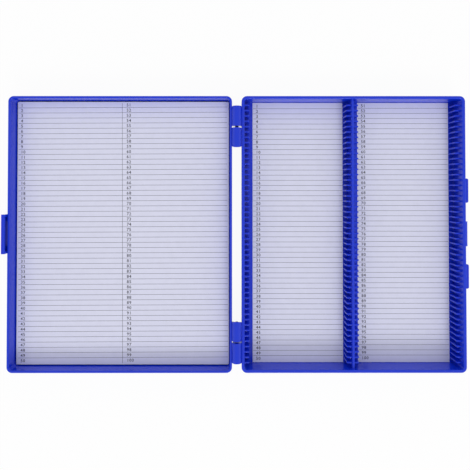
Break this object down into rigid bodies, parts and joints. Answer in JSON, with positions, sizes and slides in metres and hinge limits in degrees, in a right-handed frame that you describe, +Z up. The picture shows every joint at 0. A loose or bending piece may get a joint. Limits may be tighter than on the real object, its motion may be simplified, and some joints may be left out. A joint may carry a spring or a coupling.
{
  "type": "microscope slide box",
  "caption": "Hinged flat box for microscope slides, opened flat: ribbed base with a divider and number sheets, lid lined with foam and an index sheet, pinned hinges and a clasp.",
  "frame": {"origin": "middle of the base's underside", "axes": "+Z up out of the open base, +X from the hinges to the base's free side, +Y along the hinges"},
  "size_m": [0.3416, 0.202, 0.021],
  "materials": {
    "blue_abs": "satin",
    "paper": "matte",
    "steel": "satin",
    "foam": "matte"
  },
  "bodies": {
    "base": {"base_tray": "blue_abs", "divider": "blue_abs", "comb_left_wall": "blue_abs", "comb_divider_left": "blue_abs", "comb_divider_right": "blue_abs", "comb_right_wall": "blue_abs", "number_sheet_left": "paper", "number_sheet_right": "paper", "hinge_pin_far": "steel", "hinge_pin_near": "steel"},
    "lid": {"lid_shell": "blue_abs", "lid_foam_pad": "foam", "index_sheet": "paper", "clasp_pin": "steel"},
    "clasp": {"clasp": "blue_abs"}
  },
  "joints": [
    {"name": "lid_hinge", "type": "hinge", "parent": "base", "child": "lid", "pos_m": [-0.0855, 0, 0.0176], "axis": [0, 1, 0], "range_deg": [0, 180]},
    {"name": "clasp_pivot", "type": "hinge", "parent": "lid", "child": "clasp", "pos_m": [-0.25477, 0, 0.012], "axis": [0, -1, 0], "range_deg": [0, 95]}
  ]
}
